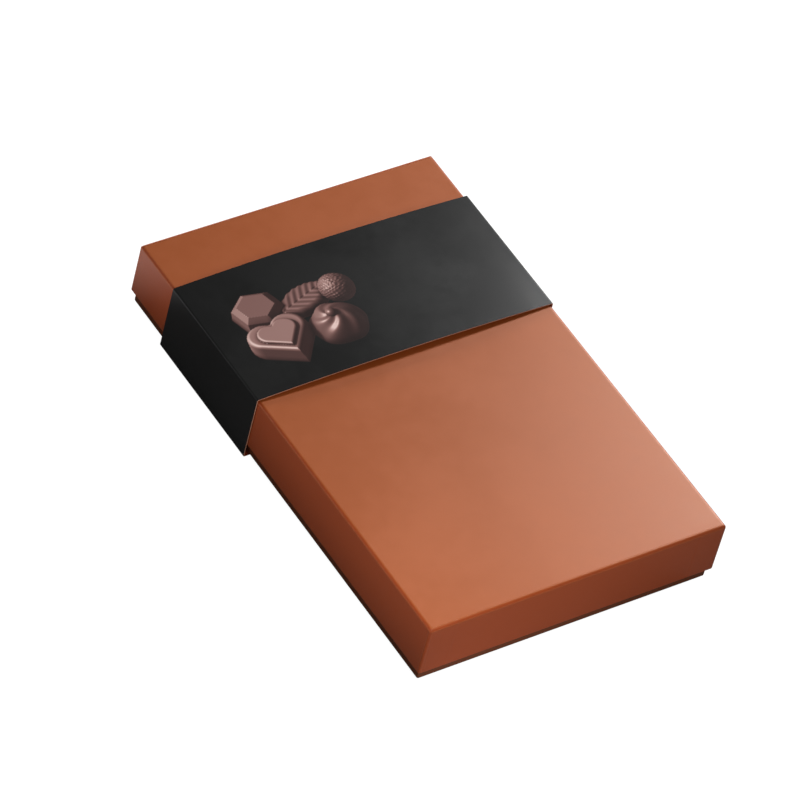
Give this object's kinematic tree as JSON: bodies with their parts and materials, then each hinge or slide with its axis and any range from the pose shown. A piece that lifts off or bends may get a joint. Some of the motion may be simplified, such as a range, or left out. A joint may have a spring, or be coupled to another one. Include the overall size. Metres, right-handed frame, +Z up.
{
  "type": "chocolate box",
  "caption": "Rigid lid-and-base gift box in copper paper with a slide-off black card sleeve, slotted dividers, fluted paper cups and moulded chocolates.",
  "frame": {"origin": "under the middle of the closed box, on the surface that the sleeve lies on", "axes": "+Y along the box towards the end that the sleeve sits near, +X across the box, +Z up through the lid"},
  "size_m": [0.1514, 0.235, 0.0371],
  "materials": {
    "copper_paper": "satin copper covering paper",
    "black_paper": "matt black covering paper",
    "greyboard": "bare greyboard",
    "black_card": "satin black card, copper inside",
    "divider_card": "dark brown card",
    "cup_paper": "brown greaseproof paper",
    "pad_paper": "embossed glassine",
    "milk_chocolate": "milk chocolate with a soft gloss",
    "dark_chocolate": "dark chocolate with a soft gloss"
  },
  "bodies": {
    "base": {"base_board": "greyboard", "base_wrap": "black_paper", "base_liner": "black_paper", "long_divider_1": "divider_card", "long_divider_2": "divider_card", "long_divider_3": "divider_card", "cross_divider_1": "divider_card", "cross_divider_2": "divider_card", "cross_divider_3": "divider_card", "cross_divider_4": "divider_card", "cross_divider_5": "divider_card", "cup_1": "cup_paper", "cup_2": "cup_paper", "cup_3": "cup_paper", "cup_4": "cup_paper", "cup_5": "cup_paper", "cup_6": "cup_paper", "cup_7": "cup_paper", "cup_8": "cup_paper", "cup_9": "cup_paper", "cup_10": "cup_paper", "cup_11": "cup_paper", "cup_12": "cup_paper", "cup_13": "cup_paper", "cup_14": "cup_paper", "cup_15": "cup_paper", "cup_16": "cup_paper", "cup_17": "cup_paper", "cup_18": "cup_paper", "cup_19": "cup_paper", "cup_20": "cup_paper", "cup_21": "cup_paper", "cup_22": "cup_paper", "cup_23": "cup_paper", "cup_24": "cup_paper", "dome_pralines": "dark_chocolate", "ribbed_square_pralines": "milk_chocolate", "heart_pralines": "milk_chocolate", "faceted_pralines": "dark_chocolate", "wavy_bar_pralines": "milk_chocolate", "fluted_cone_pralines": "dark_chocolate", "candy_pad": "pad_paper"},
    "lid": {"lid_board": "greyboard", "lid_wrap": "copper_paper", "lid_liner": "copper_paper"},
    "sleeve": {"sleeve": "black_card"}
  },
  "joints": [
    {"name": "sleeve_slide", "type": "slide", "parent": "base", "child": "sleeve", "axis": [0, 1, 0], "range_m": [-0.208, 0.099]},
    {"name": "lid_lift", "type": "slide", "parent": "base", "child": "lid", "axis": [0, 0, 1], "range_m": [0, 0.0005]}
  ]
}
